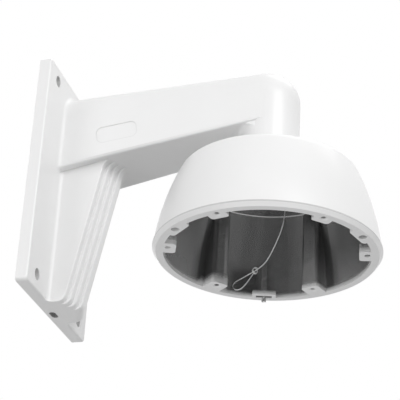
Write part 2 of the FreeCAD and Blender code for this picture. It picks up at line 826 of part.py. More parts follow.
def make_tube(points, radius):
    """A tube of straight runs joined by tangent arcs; prints each arc's radius."""
    edges = []
    at = points[0]
    length = 0.0
    radii = []
    for i in range(1, len(points) - 1):
        back = points[i - 1] - points[i]
        ahead = points[i + 1] - points[i]
        trim = 0.45 * min(back.Length, ahead.Length)
        back.normalize()
        ahead.normalize()
        half_turn = (math.pi - back.getAngle(ahead)) / 2
        bend = trim / math.tan(half_turn)
        middle_way = back + ahead
        middle_way.normalize()
        start = points[i] + back * trim
        end = points[i] + ahead * trim
        middle = points[i] + middle_way * (bend / math.cos(half_turn) - bend)
        edges.append(Part.LineSegment(at, start).toShape())
        edges.append(Part.Arc(start, middle, end).toShape())
        radii.append(round(bend, 2))
        length += (start - at).Length + bend * 2 * half_turn
        at = end
    edges.append(Part.LineSegment(at, points[-1]).toShape())
    length += (points[-1] - at).Length
    path = Part.Wire(edges)
    start_normal = points[1] - points[0]
    ring = Part.Wire([Part.Circle(points[0], start_normal, radius).toShape()])
    tube = path.makePipeShell([ring], True, False)
    print("rope arcs' radii", radii, "length", round(length, 1))
    print("rope volume", round(tube.Volume, 2), "section by length", round(math.pi * radius ** 2 * length, 2))
    return tube


def make_knot(points, rope):
    """The knot: wraps side by side about a core, hollowed where the rope lies in it."""
    centre, along = knot_place(points)
    length = knot_wrap_pitch * knot_wraps
    foot = centre - along * (length / 2)
    core = cylinder(knot_core_radius, length, foot, along)
    wraps = []
    for i in range(knot_wraps):
        place = foot + along * (knot_wrap_pitch * (i + 0.5))
        wraps.append(Part.makeTorus(knot_core_radius, rope_diameter / 2, place, along))
    return core.fuse(wraps).cut(rope)


def export(name, shape):
    """Write one piece and print what it measures."""
    box = shape.optimalBoundingBox(True, False)
    volume = round(shape.Volume / 1000, 3)
    print(name, "solids", len(shape.Solids), "valid", shape.isValid(), "volume", volume, "cm3")
    print("   box", [round(v, 2) for v in (box.XMin, box.YMin, box.ZMin, box.XMax, box.YMax, box.ZMax)])
    shape.exportStep("parts/" + name + ".step")


os.makedirs("parts", exist_ok=True)
route = rope_route()
rope = make_tube(route, rope_diameter / 2)
export("bracket_casting", make_casting())
export("retaining_screw", make_retaining_screw())
export("rope_lug", make_rope_lug())
export("lug_screw", make_lug_screw())
export("safety_rope", rope)
export("rope_knot", make_knot(route, rope))
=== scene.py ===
# %% [markdown]
# # A cast camera bracket for a wall
# The object is a hollow casting: a plate that is screwed to a wall, a ribbed gusset, an arm,
# and a bowl that hangs from the arm on a short neck. A ceiling camera screws up into the bowl,
# and a thin safety rope hangs inside it. The shape was made in CAD and comes in as a fixed
# frame. This lesson gives it its finishes, its rope, its light and its camera.

# %% Load the imported model
import math
import bpy
from mathutils import Matrix, Vector


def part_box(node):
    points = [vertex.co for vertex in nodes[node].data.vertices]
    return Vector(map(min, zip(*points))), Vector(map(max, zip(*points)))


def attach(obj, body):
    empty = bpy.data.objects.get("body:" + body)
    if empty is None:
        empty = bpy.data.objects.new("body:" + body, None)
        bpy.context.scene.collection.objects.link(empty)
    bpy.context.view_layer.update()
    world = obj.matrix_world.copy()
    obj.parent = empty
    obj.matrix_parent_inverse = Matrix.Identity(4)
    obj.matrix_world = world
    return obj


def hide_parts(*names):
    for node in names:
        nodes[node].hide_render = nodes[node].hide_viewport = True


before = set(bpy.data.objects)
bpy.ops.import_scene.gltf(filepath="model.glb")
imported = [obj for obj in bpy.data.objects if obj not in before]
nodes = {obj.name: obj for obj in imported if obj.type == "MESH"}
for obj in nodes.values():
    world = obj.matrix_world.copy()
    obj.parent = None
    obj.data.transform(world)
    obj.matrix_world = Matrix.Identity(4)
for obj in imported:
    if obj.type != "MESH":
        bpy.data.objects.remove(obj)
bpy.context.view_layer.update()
MM = 0.001
print("pieces in the frame:", sorted(nodes))

# %% [markdown]
# ## The camera
# The photographer stood below the bracket on its -X side and looked up at it. A camera can be
# placed by eye, but here its place and its three turns were worked out from the outlines of
# plate, rim and neck. Blender's camera looks along its own -Z, so the matrix is built from
# the line of sight, the picture's right and the picture's up.

# %% Camera
SIGHT_TURN = math.radians(73.558)
SIGHT_RISE = math.radians(26.955)
SIGHT_ROLL = math.radians(3.217)
CAMERA_PLACE = Vector((-0.91488, -0.38328, -0.49247))
LENS = 130.28
SENSOR = 36.0


def sight_matrix(turn, rise, roll, place):
    """Turn the line of sight and a place into a camera's matrix."""
    flat = math.cos(rise)
    ahead = Vector((flat * math.sin(turn), flat * math.cos(turn), math.sin(rise)))
    level = Vector((math.cos(turn), -math.sin(turn), 0.0))
    upright = level.cross(ahead)
    right = math.cos(roll) * level + math.sin(roll) * upright
    up = math.cos(roll) * upright - math.sin(roll) * level
    matrix = Matrix((right, up, -ahead)).transposed().to_4x4()
    matrix.translation = place
    return matrix


camera = bpy.data.objects.new("camera", bpy.data.cameras.new("camera"))
bpy.context.scene.collection.objects.link(camera)
camera.matrix_world = sight_matrix(SIGHT_TURN, SIGHT_RISE, SIGHT_ROLL, CAMERA_PLACE)
camera.data.lens = LENS
camera.data.sensor_width = SENSOR
camera.data.clip_start = 0.05
camera.data.clip_end = 20.0
bpy.context.scene.camera = camera
print("camera at", [round(v, 3) for v in camera.matrix_world.translation])

# %% [markdown]
# ## A small language for finishes
# A finish is a tree of nodes. Wired by hand, even a short formula becomes a page of links.
# Here one class wraps a socket, and Python's own operators add the Math nodes, so a mask reads
# like the formula that it is. Every other node comes from one method.

# %% Sockets that can be added and multiplied
class Wire:
    """An output socket on which arithmetic adds Math nodes."""

    def __init__(self, finish, socket):
        self.finish = finish
        self.socket = socket

    def math(self, operation, *others):
        inputs = dict(enumerate([self, *others]))
        return self.finish.node("ShaderNodeMath", {"operation": operation}, inputs)

    def __add__(self, other):
        return self.math("ADD", other)

    def __radd__(self, other):
        return self.math("ADD", other)

    def __sub__(self, other):
        return self.math("SUBTRACT", other)

    def __rsub__(self, other):
        return self.finish.node("ShaderNodeMath", {"operation": "SUBTRACT"}, {0: other, 1: self})

    def __mul__(self, other):
        return self.math("MULTIPLY", other)

    def __rmul__(self, other):
        return self.math("MULTIPLY", other)

    def __truediv__(self, other):
        return self.math("DIVIDE", other)

    def __abs__(self):
        return self.math("ABSOLUTE")

    def root(self):
        return self.math("SQRT")

    def largest(self, other):
        return self.math("MAXIMUM", other)

    def smallest(self, other):
        return self.math("MINIMUM", other)

    def ramp(self, start, end):
        """0 before start, 1 after end and smooth between; a falling ramp has start above end."""
        inputs = {"Value": self, "From Min": start, "From Max": end}
        return self.finish.node("ShaderNodeMapRange", {"interpolation_type": "SMOOTHSTEP"}, inputs)


class Finish:
    """A material, or the world, and the nodes that make it."""

    def __init__(self, owner):
        self.owner = owner
        owner.use_nodes = True
        self.tree = owner.node_tree
        self.tree.nodes.clear()

    def fill(self, socket, value):
        if isinstance(value, Wire):
            self.tree.links.new(value.socket, socket)
        else:
            socket.default_value = value

    def node(self, kind, settings=None, inputs=None, output=0):
        """Add a node: its settings first, then its inputs, and return one output."""
        made = self.tree.nodes.new(kind)
        for key, value in (settings or {}).items():
            setattr(made, key, value)
        for key, value in (inputs or {}).items():
            self.fill(made.inputs[key], value)
        return None if output is None else Wire(self, made.outputs[output])

    def place(self):
        """The point on the piece, in millimetres, as three wires."""
        spot = self.node("ShaderNodeTexCoord", output="Object")
        split = self.node("ShaderNodeSeparateXYZ", inputs={0: spot}).socket.node
        return [Wire(self, split.outputs[i]) * 1000.0 for i in range(3)]

    def vector(self, x, y, z):
        return self.node("ShaderNodeCombineXYZ", inputs={0: x, 1: y, 2: z})

    def noise(self, spot, scale, detail=2.0, roughness=0.5):
        """Cloudy noise from 0 to 1 whose patches are 1 / scale across, in the spot's unit."""
        inputs = {"Vector": spot, "Scale": scale, "Detail": detail, "Roughness": roughness}
        return self.node("ShaderNodeTexNoise", inputs=inputs)

    def blend(self, factor, first, second):
        """Mix two colours, each a wire."""
        inputs = {0: factor, 6: first, 7: second}
        return self.node("ShaderNodeMix", {"data_type": "RGBA"}, inputs, output=2)

    def bump(self, height, distance, strength, under=None):
        inputs = {"Height": height, "Distance": distance, "Strength": strength}
        if under is not None:
            inputs["Normal"] = under
        return self.node("ShaderNodeBump", inputs=inputs)

    def close(self, **inputs):
        """End the tree in a Principled shader with these inputs."""
        named = {key.replace("_", " "): value for key, value in inputs.items()}
        shader = self.node("ShaderNodeBsdfPrincipled", inputs=named)
        self.node("ShaderNodeOutputMaterial", inputs={"Surface": shader}, output=None)
        return self.owner


def new_finish(name):
    return Finish(bpy.data.materials.new(name))


print("ready: one class for sockets and one for finishes")


# %% [markdown]
# ## Where the paint ends
# The real casting is sprayed white from outside. Its bowl is bare and dark inside, and so is the
# duct through neck, arm and gusset. One object carries both finishes, so the finish has to
# know on which side of a wall it is. Faces could be picked one by one, but the CAD mesh stays as
# it is. Instead, each mask asks whether a point lies inside the surface half way through the
# wall: what is inside it belongs to the hollow, and what is outside it to the painted skin.

# %% Masks of the hollow
BOWL_REACH = 165.5
RIM_DROP = 57.2
RIM_TURN = math.radians(14.5)
EDGE = 0.4
CEILING = 62.0
WALL_FOOT = 77.9
WALL_TAPER = 14.7
WALL_BULGE = 10.0
DUCT_RADIUS = 19.5
ELBOW_REACH = 161.6
ELBOW_HEIGHT = 67.7
ELBOW_BEND = 3.9
ARM_SHOULDER = 20.0
ARM_LOW = 14.7
ARM_LOW_RISE = 0.2031
GUSSET_FOOT = -91.25
GUSSET_LEAN = 0.1915


def below(value, limit):
    """1 where value is under limit."""
    return (limit - value).ramp(-EDGE, EDGE)


def above(value, limit):
    return (value - limit).ramp(-EDGE, EDGE)


def bowl_place(x, y, z):
    """Radius from the bowl's axis, height over its rim, and the plan place."""
    ahead = y + BOWL_REACH
    return (x * x + ahead * ahead).root(), z + RIM_DROP, ahead


def in_bowl(radius, height):
    """Inside the middle of the bowl's wall and of its domed top."""
    share = (height / CEILING).largest(0.0).smallest(1.0)
    wall = WALL_FOOT - share * WALL_TAPER + share * (1.0 - share) * WALL_BULGE
    dome = 76.0 - radius * radius / 316.6
    return below(radius, wall) * below(height, dome) * above(height, -1.0)


def in_neck(radius, z):
    return below(radius, DUCT_RADIUS) * above(z, 12.0) * below(z, 68.0)


def in_elbow(x, y, z):
    """Inside the bend, a half disc turned about the elbow's axis."""
    turn_y = y + ELBOW_REACH
    turn_z = z - ELBOW_HEIGHT
    out = ((turn_y * turn_y + turn_z * turn_z).root() - ELBOW_BEND).largest(0.0)
    tube = below((x * x + out * out).root(), DUCT_RADIUS)
    return tube * below(y, -158.0) * above(z, 60.0)


def in_arm(x, y, z):
    """Inside the arm's tapering section, with its round shoulders."""
    reach = 0.0 - y
    half = 25.9 - reach * 0.0395
    top = 79.0 + reach * 0.0752
    low = ARM_LOW + reach * ARM_LOW_RISE
    side = (abs(x) - (half - ARM_SHOULDER)).largest(0.0)
    rise = (z - (top - ARM_SHOULDER)).largest(0.0)
    section = below((side * side + rise * rise).root(), ARM_SHOULDER)
    return section * above(z, low) * above(y, -163.0) * below(y, -4.0)


def in_gusset(x, y, z, back):
    """Inside the leaning gusset, from its sloped front to a depth before the wall."""
    front = -19.7 - (z - GUSSET_FOOT) * GUSSET_LEAN
    across = below(abs(x), 18.5) * above(y, front) * below(y, back)
    return across * above(z, -89.2) * below(z, 32.0)


def under_arm(y, z, radius):
    """1 on the arm's underside away from the wall, and less down to 14 mm under it."""
    drop = ARM_LOW - y * ARM_LOW_RISE - z
    near = drop.ramp(-1.0, 0.2) * drop.ramp(14.0, 2.0)
    clear_of_bowl = above(z, 21.0).largest(above(y, -80.0))
    return near * above(radius, 24.5) * clear_of_bowl * above(y, -160.0) * y.ramp(-12.0, -48.0)


def near_angle(x, ahead, radius, degrees, width):
    """1 near one direction from the bowl's axis, measured from the rim's own axis."""
    turned = RIM_TURN + math.radians(degrees)
    along = (x * math.cos(turned) + ahead * math.sin(turned)) / radius.largest(1.0)
    return along.ramp(math.cos(math.radians(width * 1.25)), math.cos(math.radians(width * 0.75)))


WALL_TOP = round(WALL_FOOT - WALL_TAPER, 1)
print("middle of the bowl's wall:", WALL_FOOT, "mm at the rim,", WALL_TOP, "mm at the ceiling")


# %% [markdown]
# ## White paint and bare casting
# The paint is a satin powder coat. Close up it has the fine skin of an orange, and the casting
# under it is never quite flat, so two noises bend the light: a fine one and a broad, faint one.
# The bare metal inside is dark, glossy and mottled, with upright streaks left by the mould.
# Some spray has drifted in over the rim, so the paint fades out over a few millimetres there,
# further round the two catches. The bright line at the corner under the ceiling is a painted
# highlight. The bowl's wall also carries painted light and painted shade, and the paint carries
# painted shade in the rim's groove, in holes, along the arm's panel and under the arm. A thin,
# smooth coat lies over the paint, which gives the neck its crisp highlight.

# %% Fine places on the casting
PANEL_REACH = 52.5
PANEL_HEIGHT = 42.2
PANEL_TILT = math.radians(9.5)
PANEL_HALF_LENGTH = 15.5
PANEL_HALF_HEIGHT = 6.5
PANEL_CORNER = 4.5
BORE_PLACE = (66.57, 32.7)
CATCH_BORE_PLACE = (71.3, -107.5, 13.5)
TAB_SLOT_RADIUS = 73.2


def rim_place(radius, degrees, aside=0.0):
    """A plan place from the bowl's axis, measured from the rim's own axis."""
    turned = RIM_TURN + math.radians(degrees)
    east = radius * math.cos(turned) - aside * math.sin(turned)
    north = radius * math.sin(turned) + aside * math.cos(turned)
    return east, north


def near_spot(x, ahead, spot, size):
    """1 within size of a plan place."""
    from_x = x - spot[0]
    from_y = ahead - spot[1]
    return (size - (from_x * from_x + from_y * from_y).root()).ramp(-0.15, 0.15)


def panel_edge_shade(x, y, z):
    """A thin darker line along the edge of the bare panel on the arm's side: painted shade at the
    panel's recessed edge.
    """
    cos, sin = math.cos(PANEL_TILT), math.sin(PANEL_TILT)
    reach = y * -1.0 - PANEL_REACH
    rise = z - PANEL_HEIGHT
    along = abs(reach * cos + rise * sin) - (PANEL_HALF_LENGTH - PANEL_CORNER)
    across = abs(rise * cos - reach * sin) - (PANEL_HALF_HEIGHT - PANEL_CORNER)
    out_along = along.largest(0.0)
    out_across = across.largest(0.0)
    corner = (out_along * out_along + out_across * out_across).root()
    far = corner + along.largest(across).smallest(0.0)
    # painted shade line along the panel's edge
    return abs(far - PANEL_CORNER).ramp(0.75, 0.15) * below(x, -20.0)


print("a camera screw's bore is at", [round(v, 1) for v in rim_place(*BORE_PLACE)], "mm from the axis")


# %% Where the casting is bare
SCREW_ANGLE = 32.7
CATCH_ANGLE = 107.5
BORE_RADIUS = 1.75
CATCH_BORE_RADIUS = 2.3
WALL_HOLE_EAST = 44.0
WALL_HOLE_RISE = 80.0


def drift_height(x, ahead, radius, speckle):
    """How high the drifted spray reaches up the wall: more at the catches and at one pillar."""
    catches = near_angle(x, ahead, radius, CATCH_ANGLE, 22.0)
    catches = catches + near_angle(x, ahead, radius, -CATCH_ANGLE, 22.0)
    pillar = near_angle(x, ahead, radius, SCREW_ANGLE, 9.0)
    return 3.6 + catches * 1.6 + pillar * 5.0 + speckle * 1.6


def bare_shaded_pits(x, ahead, height):
    """One camera screw's bore, one bore at the front catch and the tab's slot: bare inside, and
    darkened nearly black as painted shade.
    """
    bores = near_spot(x, ahead, rim_place(*BORE_PLACE), BORE_RADIUS)
    bores = bores.largest(near_spot(x, ahead, rim_place(*CATCH_BORE_PLACE), CATCH_BORE_RADIUS))
    east, north = rim_place(TAB_SLOT_RADIUS, 0.0)
    across = abs((x - east) * math.cos(RIM_TURN) + (ahead - north) * math.sin(RIM_TURN))
    slot = below(across, 2.0) * near_spot(x, ahead, (east, north), 6.6)
    return (bores * below(height, 16.0)).largest(slot * below(height, 3.4)) * above(height, 0.8)


def bare_shaded_drain(x, y, z):
    """The drain slot in the plate's bottom edge: bare, dark and not metallic, as painted shade in the
    slot.
    """
    return below(abs(x - 4.2), 5.9) * below(abs(y + 5.2), 3.0) * above(z, -90.9) * below(z, -83.0)


def bare_duct(x, y, z, radius, mottle):
    """The hollow from neck to gusset: painted near the wall, but bare round the drain, where the dark
    metal stands in for the shade seen through the slot.
    """
    depth = (mottle * 10.0 - y).ramp(15.0, 40.0)
    duct = in_neck(radius, z).largest(in_elbow(x, y, z))
    duct = duct.largest(in_arm(x, y, z) * depth).largest(in_gusset(x, y, z, -4.0) * depth)
    # bare, dark patch round the drain: painted shade seen through the slot
    drain_x, drain_y, drain_z = x - 9.0, y + 4.0, z + 87.0
    from_drain = (drain_x * drain_x + drain_y * drain_y + drain_z * drain_z).root()
    return duct.largest(in_gusset(x, y, z, -0.6) * from_drain.ramp(16.0, 7.0))


def wall_hole_shade(x, y, z):
    """The wall screws' holes, whose bores get painted shade."""
    from_x = abs(x) - WALL_HOLE_EAST
    from_z = abs(z) - WALL_HOLE_RISE
    return below((from_x * from_x + from_z * from_z).root(), 4.8) * above(y, -8.8)


print("bare: the bowl, the duct, 2 bores, the tab's slot and the drain slot")

# %% Tones of paint and metal
# a place of painted light on the bowl's wall, fading up from the rim: direction and width in
# degrees, the height at which it has faded out in millimetres, and its strength
PAINTED_LIGHT_PLACES = (
    (82.0, 34.0, 62.0, 0.6),
    (-76.0, 30.0, 34.0, 0.3),
    (-SCREW_ANGLE, 8.0, 34.0, 0.34),
    (28.5, 2.2, 72.0, 0.4),
)
PAINT_TONE = 0.86
METAL_TONE = 0.22


def paint_tone(x, y, z, radius, height, mottle):
    """Nearly white, with painted shade in the groove above the bevel, under the arm by the gusset, in
    the wall screws' holes and along the panel's edge.
    """
    # painted shade in the groove above the bevel
    groove_shade = above(height, 3.0) * below(height, 4.0) * above(radius, 81.2) * below(radius, 84.0)
    # painted shade under the arm, strongest by the gusset
    under_arm_shade = under_arm(y, z, radius) * (0.03 + y.ramp(-150.0, -40.0) * 0.14)
    shade = PAINT_TONE - (mottle - 0.5) * 0.02 - groove_shade * 0.34 - under_arm_shade
    # painted shade in the wall screws' holes and along the edge of the arm's panel
    return shade - wall_hole_shade(x, y, z) * 0.26 - panel_edge_shade(x, y, z) * 0.06


def painted_bowl_light(x, ahead, radius, height):
    """Painted light that makes the bowl's wall paler: its flanks and places fading up from the rim;
    also a lighter rib and a lighter band higher up.
    """
    around = (ahead * math.cos(RIM_TURN) - x * math.sin(RIM_TURN)) / radius.largest(1.0)
    # painted light: one flank lighter than the other, and both lighter than the middle
    light = around * 0.1 + abs(around).ramp(0.55, 0.85) * 0.2
    for degrees, width, fades, strength in PAINTED_LIGHT_PLACES:
        pale = near_angle(x, ahead, radius, degrees, width) * (height / fades).ramp(1.0, 0.0)
        light = light + pale * strength
    rib = near_angle(x, ahead, radius, 0.0, 2.0) * below(height, 26.5)
    high_band = near_angle(x, ahead, radius, 17.0, 14.0) * height.ramp(14.0, 30.0)
    return light + rib * 0.1 + high_band * 0.09


def bowl_dark(x, ahead, radius, height, patches):
    """What makes it darker: painted shade beside the two far pillars and a broad darker patch low on
    the wall between them.
    """
    pillar_shade = near_angle(x, ahead, radius, 40.0, 3.2)
    pillar_shade = pillar_shade.largest(near_angle(x, ahead, radius, -41.5, 2.6)) * above(radius, 58.0)
    mark = near_angle(x, ahead, radius, 12.0, 8.0) * (height + patches * 20.0).ramp(36.0, 22.0)
    return pillar_shade, mark


print("paint", PAINT_TONE, "and metal", METAL_TONE, "with", len(PAINTED_LIGHT_PLACES), "pale places")


# %% The casting's finish
def make_casting_finish():
    f = new_finish("painted_casting")
    x, y, z = f.place()
    spot = f.vector(x, y, z)
    radius, height, ahead = bowl_place(x, y, z)
    mottle = f.noise(spot, 0.045, detail=3.0)
    speckle = f.noise(spot, 0.9, detail=3.0, roughness=0.6)
    cast = f.noise(spot, 0.5, detail=4.0)
    patches = f.noise(spot, 0.03, detail=2.0)
    angle = ahead.math("ARCTAN2", x)
    upright = f.vector(angle * 12.0, height * 0.02, 0.0)
    streaks = f.noise(upright, 1.0, detail=3.0, roughness=0.65)

    bowl = in_bowl(radius, height)
    # bores and slot: bare metal, darkened below as painted shade
    pits = bare_shaded_pits(x, ahead, height)
    # drain slot: bare and dark as painted shade
    drain = bare_shaded_drain(x, y, z)
    bare = bowl * (height / drift_height(x, ahead, radius, speckle)).ramp(0.08, 1.0)
    bare = bare.largest(bare_duct(x, y, z, radius, mottle)).largest(pits).largest(drain)

    shade = paint_tone(x, y, z, radius, height, mottle)
    paint = f.vector(shade, shade, shade)

    pillar_shade, mark = bowl_dark(x, ahead, radius, height, patches)
    dark = METAL_TONE + patches * 0.1 + streaks * 0.1
    # painted light on the bowl's wall
    dark = dark + painted_bowl_light(x, ahead, radius, height) * bowl
    # painted shade beside the far pillars, a darker patch low between them, and painted shade making
    # the bores and the tab's slot nearly black
    dark = dark * (1.0 - pillar_shade * bowl * 0.45) * (1.0 - mark * bowl * 0.4) * (1.0 - pits * 0.8)
    # painted highlight: a thin bright, non-metallic line round the corner under the ceiling, standing
    # in for the reflection on that corner
    corner = (abs(height - CEILING) + abs(radius - 61.1)).ramp(0.8, 0.25) * bowl
    dark = dark + corner * 0.7
    metal = f.vector(dark, dark, dark)

    fine = f.noise(spot, 1.3, detail=2.0)
    broad = f.noise(spot, 0.07, detail=1.0)
    skin = f.bump(fine * (1.0 - bare) + cast * bare * 0.3, 0.00006, 0.35)
    surface = f.bump(broad, 0.0006, 0.12, under=skin)
    rough_paint = 0.36 + (speckle - 0.5) * 0.08
    rough_metal = 0.18 + streaks * 0.08 + (cast - 0.5) * 0.03 + (1.0 - bowl) * 0.22
    return f.close(
        Base_Color=f.blend(bare, paint, metal),
        Metallic=bare * (1.0 - corner) * (1.0 - pits) * (1.0 - drain) * 0.75,
        Roughness=rough_paint * (1.0 - bare) + rough_metal * bare,
        Coat_Weight=(1.0 - bare) * 0.16,
        Coat_Roughness=0.14,
        Normal=surface,
    )


def wear(piece, material):
    """Give a piece one material for all its faces."""
    slots = piece.data.materials
    if len(slots) == 0:
        slots.append(material)
    for i in range(len(slots)):
        slots[i] = material


casting_finish = make_casting_finish()
wear(nodes["bracket_casting"], casting_finish)
print("casting finish:", len(casting_finish.node_tree.nodes), "nodes")

# %% [markdown]
# ## Steel
# The small parts are turned or pressed from steel. Turned faces show fine rings, which a
# wave texture round the screw's axis gives. The rope lug is plated sheet and is only a little
# uneven. Both use the same tree with other numbers.

# %% Steel finishes
def make_steel_finish(name, tone, roughness, centre, rings):
    """Steel with turned rings about an upright axis through centre, in millimetres."""
    f = new_finish(name)
    x, y, z = f.place()
    from_x = x - centre[0]
    from_y = y - centre[1]
    out = (from_x * from_x + from_y * from_y).root()
    ring = (out * rings).math("SINE") * 0.5 + 0.5
    grain = f.noise(f.vector(x, y, z), 2.2, detail=3.0, roughness=0.6)
    value = tone * (0.82 + ring * 0.1 + grain * 0.2)
    return f.close(
        Base_Color=f.vector(value, value, value),
        Metallic=1.0,
        Roughness=roughness + grain * 0.12,
        Normal=f.bump(ring * 0.6 + grain * 0.4, 0.00003, 0.4),
    )


def middle_of(name):
    """The centre of a node in plan, in millimetres."""
    low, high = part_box(name)
    middle = (low + high) / 2 / MM
    return middle.x, middle.y


screw_steel = make_steel_finish("screw_steel", 0.6, 0.3, middle_of("retaining_screw"), 20.0)
lug_steel = make_steel_finish("lug_steel", 0.62, 0.24, middle_of("lug_screw"), 3.0)
head_steel = make_steel_finish("head_steel", 0.5, 0.2, middle_of("lug_screw"), 26.0)
wear(nodes["retaining_screw"], screw_steel)
wear(nodes["rope_lug"], lug_steel)
wear(nodes["lug_screw"], head_steel)
for screw in ("retaining_screw", "lug_screw"):
    print(screw, "stands at", [round(v, 1) for v in middle_of(screw)], "mm")

# %% [markdown]
# ## The safety rope
# The rope is 0.8 mm thick: six strands laid round a seventh. It leaves the lug's barrel
# straight down, hangs in a bow towards the wall side, runs through its knot and turns back in an
# open loop. Its line is a smooth NURBS curve through the same turns that the CAD part uses.
# The line alone is not a rope, so its points are read back and dressed in strands below.

# %% The rope's line
ROPE_THICK = 0.8 * MM
ROPE_LINE = [
    (31.22, -170.81, -0.61),
    (31.2, -170.8, -11.2),
    (35.0, -167.4, -20.4),
    (39.5, -162.9, -27.2),
    (45.5, -157.6, -33.6),
    (53.2, -150.2, -39.5),
    (59.5, -134.0, -44.9),
    (58.5, -125.0, -50.0),
    (57.5, -127.2, -56.3),
    (57.5, -134.3, -55.4),
    (56.52, -141.65, -44.02),
]


def smooth_line(name, points, steps):
    """Lay a smooth curve along turns given in millimetres and return the points on it."""
    curve = bpy.data.curves.new(name, "CURVE")
    curve.dimensions = "3D"
    curve.resolution_u = steps
    spline = curve.splines.new("NURBS")
    spline.points.add(len(points) - 1)
    for knot, point in zip(spline.points, points):
        knot.co = (*(Vector(point) * MM), 1.0)
    spline.order_u = 3
    spline.use_endpoint_u = True
    holder = bpy.data.objects.new(name, curve)
    bpy.context.scene.collection.objects.link(holder)
    line = bpy.data.meshes.new_from_object(holder)
    bpy.data.objects.remove(holder)
    return line


rope_line = smooth_line("rope_line", ROPE_LINE, 16)

# %% [markdown]
# ## Strands with Geometry Nodes
# A rope's strands follow one path and wind about it, which is what Geometry Nodes do well.
# The profile is a ring of small circles with one in the middle. It is swept along the line,
# and the line's tilt grows with its length, so the circles wind into strands. The tree has named
# inputs for its sizes, so the knot can use it too.

# %% The strand tree
def add_input(tree, name, kind, value):
    socket = tree.interface.new_socket(name=name, in_out="INPUT", socket_type=kind)
    if value is not None:
        socket.default_value = value


def build_strand_tree():
    tree = bpy.data.node_groups.new("laid_rope", "GeometryNodeTree")
    add_input(tree, "Line", "NodeSocketGeometry", None)
    add_input(tree, "Strands", "NodeSocketInt", 6)
    add_input(tree, "Rope Thickness", "NodeSocketFloat", ROPE_THICK)
    add_input(tree, "Lay Length", "NodeSocketFloat", 5.5 * MM)
    add_input(tree, "Step", "NodeSocketFloat", 0.3 * MM)
    add_input(tree, "Finish", "NodeSocketMaterial", None)
    tree.interface.new_socket(name="Rope", in_out="OUTPUT", socket_type="NodeSocketGeometry")

    def add(kind, inputs=None, **settings):
        node = tree.nodes.new(kind)
        for key, value in settings.items():
            setattr(node, key, value)
        for key, value in (inputs or {}).items():
            if isinstance(value, bpy.types.NodeSocket):
                tree.links.new(value, node.inputs[key])
            else:
                node.inputs[key].default_value = value
        return node

    given = add("NodeGroupInput").outputs
    thick = given["Rope Thickness"]
    strand_radius = add("ShaderNodeMath", {0: thick, 1: 6.0}, operation="DIVIDE").outputs[0]
    ring_radius = add("ShaderNodeMath", {0: thick, 1: 3.0}, operation="DIVIDE").outputs[0]

    line = add("GeometryNodeMeshToCurve", {"Mesh": given["Line"]}).outputs["Curve"]
    fine = add("GeometryNodeResampleCurve", {"Curve": line, "Length": given["Step"]}, mode="LENGTH")
    along = add("GeometryNodeSplineParameter").outputs["Length"]
    turns = add("ShaderNodeMath", {0: along, 1: given["Lay Length"]}, operation="DIVIDE").outputs[0]
    tilt = add("ShaderNodeMath", {0: turns, 1: 2 * math.pi}, operation="MULTIPLY").outputs[0]
    twist = {"Curve": fine.outputs["Curve"], "Tilt": tilt}
    line = add("GeometryNodeSetCurveTilt", twist).outputs["Curve"]

    circle = "GeometryNodeCurvePrimitiveCircle"
    strand = add(circle, {"Resolution": 8, "Radius": strand_radius}).outputs["Curve"]
    ring = add(circle, {"Resolution": given["Strands"], "Radius": ring_radius}).outputs["Curve"]
    posts = add("GeometryNodeCurveToPoints", {"Curve": ring}, mode="EVALUATED").outputs["Points"]
    spread = {"Points": posts, "Instance": strand}
    outer = add("GeometryNodeInstanceOnPoints", spread).outputs["Instances"]
    outer = add("GeometryNodeRealizeInstances", {"Geometry": outer}).outputs["Geometry"]
    profile = add("GeometryNodeJoinGeometry")
    tree.links.new(outer, profile.inputs[0])
    tree.links.new(strand, profile.inputs[0])

    sweep = {"Curve": line, "Profile Curve": profile.outputs[0], "Fill Caps": True}
    rope = add("GeometryNodeCurveToMesh", sweep).outputs["Mesh"]
    rope = add("GeometryNodeSetShadeSmooth", {"Geometry": rope}).outputs["Geometry"]
    rope = add("GeometryNodeRealizeInstances", {"Geometry": rope}).outputs["Geometry"]
    dress = {"Geometry": rope, "Material": given["Finish"]}
    rope = add("GeometryNodeSetMaterial", dress).outputs["Geometry"]
    tree.links.new(rope, add("NodeGroupOutput").inputs["Rope"])
    return tree


def grow(name, line, tree, **sizes):
    """Run a tree on a line mesh and keep the result as a plain mesh object."""
    piece = bpy.data.objects.new(name, line)
    bpy.context.scene.collection.objects.link(piece)
    modifier = piece.modifiers.new("grow", "NODES")
    modifier.node_group = tree
    wanted = {key.replace("_", " "): value for key, value in sizes.items()}
    for item in tree.interface.items_tree:
        if item.item_type == "SOCKET" and item.in_out == "INPUT" and item.name in wanted:
            modifier[item.identifier] = wanted[item.name]
    seen = piece.evaluated_get(bpy.context.evaluated_depsgraph_get())
    mesh = bpy.data.meshes.new_from_object(seen)
    piece.modifiers.remove(modifier)
    mesh.name = name
    piece.data = mesh
    print(name, "has", len(mesh.polygons), "faces")
    return piece


strand_tree = build_strand_tree()
print("strand tree:", len(strand_tree.nodes), "nodes")

# %% [markdown]
# ## Rope steel
# Rope wire is drawn bright and greys a little with handling. Each strand is itself spun from
# finer wires, far too fine to model, so a fine grain in the bump stands for them.

# %% The rope's finish
def make_rope_finish():
    f = new_finish("rope_wire")
    x, y, z = f.place()
    spot = f.vector(x, y, z)
    wires = f.noise(spot, 6.0, detail=2.0)
    dulled = f.noise(spot, 0.15, detail=2.0)
    value = 0.96 + (wires - 0.5) * 0.12 - dulled * 0.04
    return f.close(
        Base_Color=f.vector(value, value, value),
        Metallic=0.85,
        Roughness=0.3 + dulled * 0.14,
        Normal=f.bump(wires, 0.00004, 0.5),
    )


rope_finish = make_rope_finish()
rope = grow("safety_rope_laid", rope_line, strand_tree, Finish=rope_finish)

